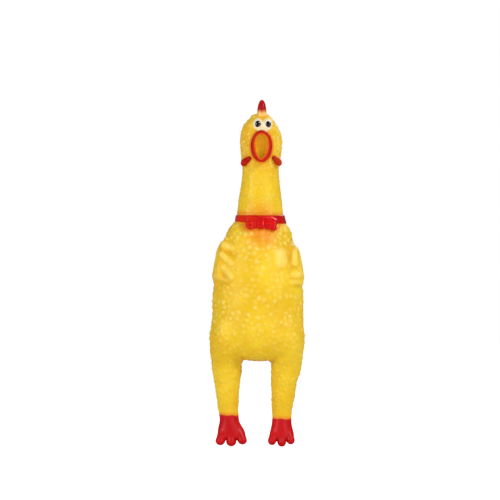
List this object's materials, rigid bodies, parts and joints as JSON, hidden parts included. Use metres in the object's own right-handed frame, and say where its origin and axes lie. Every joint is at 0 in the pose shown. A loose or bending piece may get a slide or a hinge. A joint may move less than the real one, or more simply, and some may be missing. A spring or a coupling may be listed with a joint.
{
  "type": "squeaky rubber chicken",
  "caption": "Hollow soft-vinyl plucked chicken that squeaks through its open mouth when squeezed; its neck, legs and feet flop.",
  "frame": {"origin": "centre of the hand grip, in the middle of the trunk, 76 mm above the toe tips", "axes": "+Z from the toes to the comb, -Y the way the face looks, +X to the right of a viewer who faces it"},
  "size_m": [0.0462, 0.0407, 0.17],
  "materials": {
    "yellow_vinyl": "soft semi-gloss moulded vinyl with a pimpled plucked-skin surface",
    "red_vinyl": "red paint on soft vinyl, semi-gloss",
    "red_ribbon": "glossy red, moulded band and bow",
    "eye_white": "cream gloss paint",
    "eye_black": "black gloss paint",
    "squeaker_plastic": "natural polyethylene, slightly cloudy"
  },
  "bodies": {
    "trunk": {"trunk_skin": "yellow_vinyl", "wing_left": "yellow_vinyl", "wing_right": "yellow_vinyl", "tail_nub": "yellow_vinyl", "collar_band": "red_ribbon", "bow_loop_left": "red_ribbon", "bow_loop_right": "red_ribbon", "bow_knot": "red_ribbon", "squeaker_housing": "squeaker_plastic", "squeaker_reed_bed": "squeaker_plastic", "squeaker_clamp_ring": "squeaker_plastic"},
    "belly": {"belly_panel": "yellow_vinyl"},
    "back": {"back_panel": "yellow_vinyl"},
    "reed": {"squeaker_reed": "squeaker_plastic"},
    "neck_lower": {"neck_lower_skin": "yellow_vinyl"},
    "neck_upper": {"neck_upper_skin": "yellow_vinyl"},
    "head": {"head_skin": "yellow_vinyl", "mouth_rim": "red_vinyl", "comb": "red_vinyl", "wattle_left": "red_vinyl", "wattle_right": "red_vinyl", "eye_white_left": "eye_white", "eye_white_right": "eye_white", "pupil_left": "eye_black", "pupil_right": "eye_black"},
    "thigh_left": {"thigh_left": "yellow_vinyl"},
    "thigh_right": {"thigh_right": "yellow_vinyl"},
    "shank_left": {"shank_left": "yellow_vinyl"},
    "shank_right": {"shank_right": "yellow_vinyl"},
    "foot_left": {"foot_left": "red_vinyl"},
    "foot_right": {"foot_right": "red_vinyl"}
  },
  "joints": [
    {"name": "neck_lean", "type": "hinge", "parent": "trunk", "child": "neck_lower", "pos_m": [0, 0, 0.042], "axis": [1, 0, 0], "range_deg": [-20, 25], "stiffness_Nm_per_rad": 0.08},
    {"name": "neck_sway", "type": "hinge", "parent": "neck_lower", "child": "neck_upper", "pos_m": [0, 0, 0.051], "axis": [0, 1, 0], "range_deg": [-20, 20], "stiffness_Nm_per_rad": 0.08},
    {"name": "head_nod", "type": "hinge", "parent": "neck_upper", "child": "head", "pos_m": [0, 0, 0.0595], "axis": [1, 0, 0], "range_deg": [-20, 25], "stiffness_Nm_per_rad": 0.06},
    {"name": "belly_press", "type": "slide", "parent": "trunk", "child": "belly", "axis": [0, 1, 0], "range_m": [0, 0.004], "stiffness_N_per_m": 250},
    {"name": "back_press", "type": "slide", "parent": "trunk", "child": "back", "axis": [0, -1, 0], "range_m": [0, 0.004], "stiffness_N_per_m": 250},
    {"name": "reed_buzz", "type": "hinge", "parent": "trunk", "child": "reed", "pos_m": [0, -0.0046, 0.0269], "axis": [1, 0, 0], "range_deg": [-1.5, 3], "stiffness_Nm_per_rad": 0.004},
    {"name": "hip_splay_left", "type": "hinge", "parent": "trunk", "child": "thigh_left", "pos_m": [-0.0143, 0, -0.0375], "axis": [0, 1, 0], "range_deg": [-6, 25], "stiffness_Nm_per_rad": 0.03},
    {"name": "knee_bend_left", "type": "hinge", "parent": "thigh_left", "child": "shank_left", "pos_m": [-0.0136, 0, -0.0495], "axis": [1, 0, 0], "range_deg": [-30, 35], "stiffness_Nm_per_rad": 0.02},
    {"name": "ankle_bend_left", "type": "hinge", "parent": "shank_left", "child": "foot_left", "pos_m": [-0.013, 0, -0.0605], "axis": [1, 0, 0], "range_deg": [-25, 25], "stiffness_Nm_per_rad": 0.015},
    {"name": "hip_splay_right", "type": "hinge", "parent": "trunk", "child": "thigh_right", "pos_m": [0.0143, 0, -0.0375], "axis": [0, -1, 0], "range_deg": [-6, 25], "stiffness_Nm_per_rad": 0.03},
    {"name": "knee_bend_right", "type": "hinge", "parent": "thigh_right", "child": "shank_right", "pos_m": [0.0136, 0, -0.0495], "axis": [1, 0, 0], "range_deg": [-30, 35], "stiffness_Nm_per_rad": 0.02},
    {"name": "ankle_bend_right", "type": "hinge", "parent": "shank_right", "child": "foot_right", "pos_m": [0.013, 0, -0.0605], "axis": [1, 0, 0], "range_deg": [-25, 25], "stiffness_Nm_per_rad": 0.015}
  ],
  "couplings": [
    {"joint": "back_press", "follows": "belly_press", "ratio": 1}
  ]
}
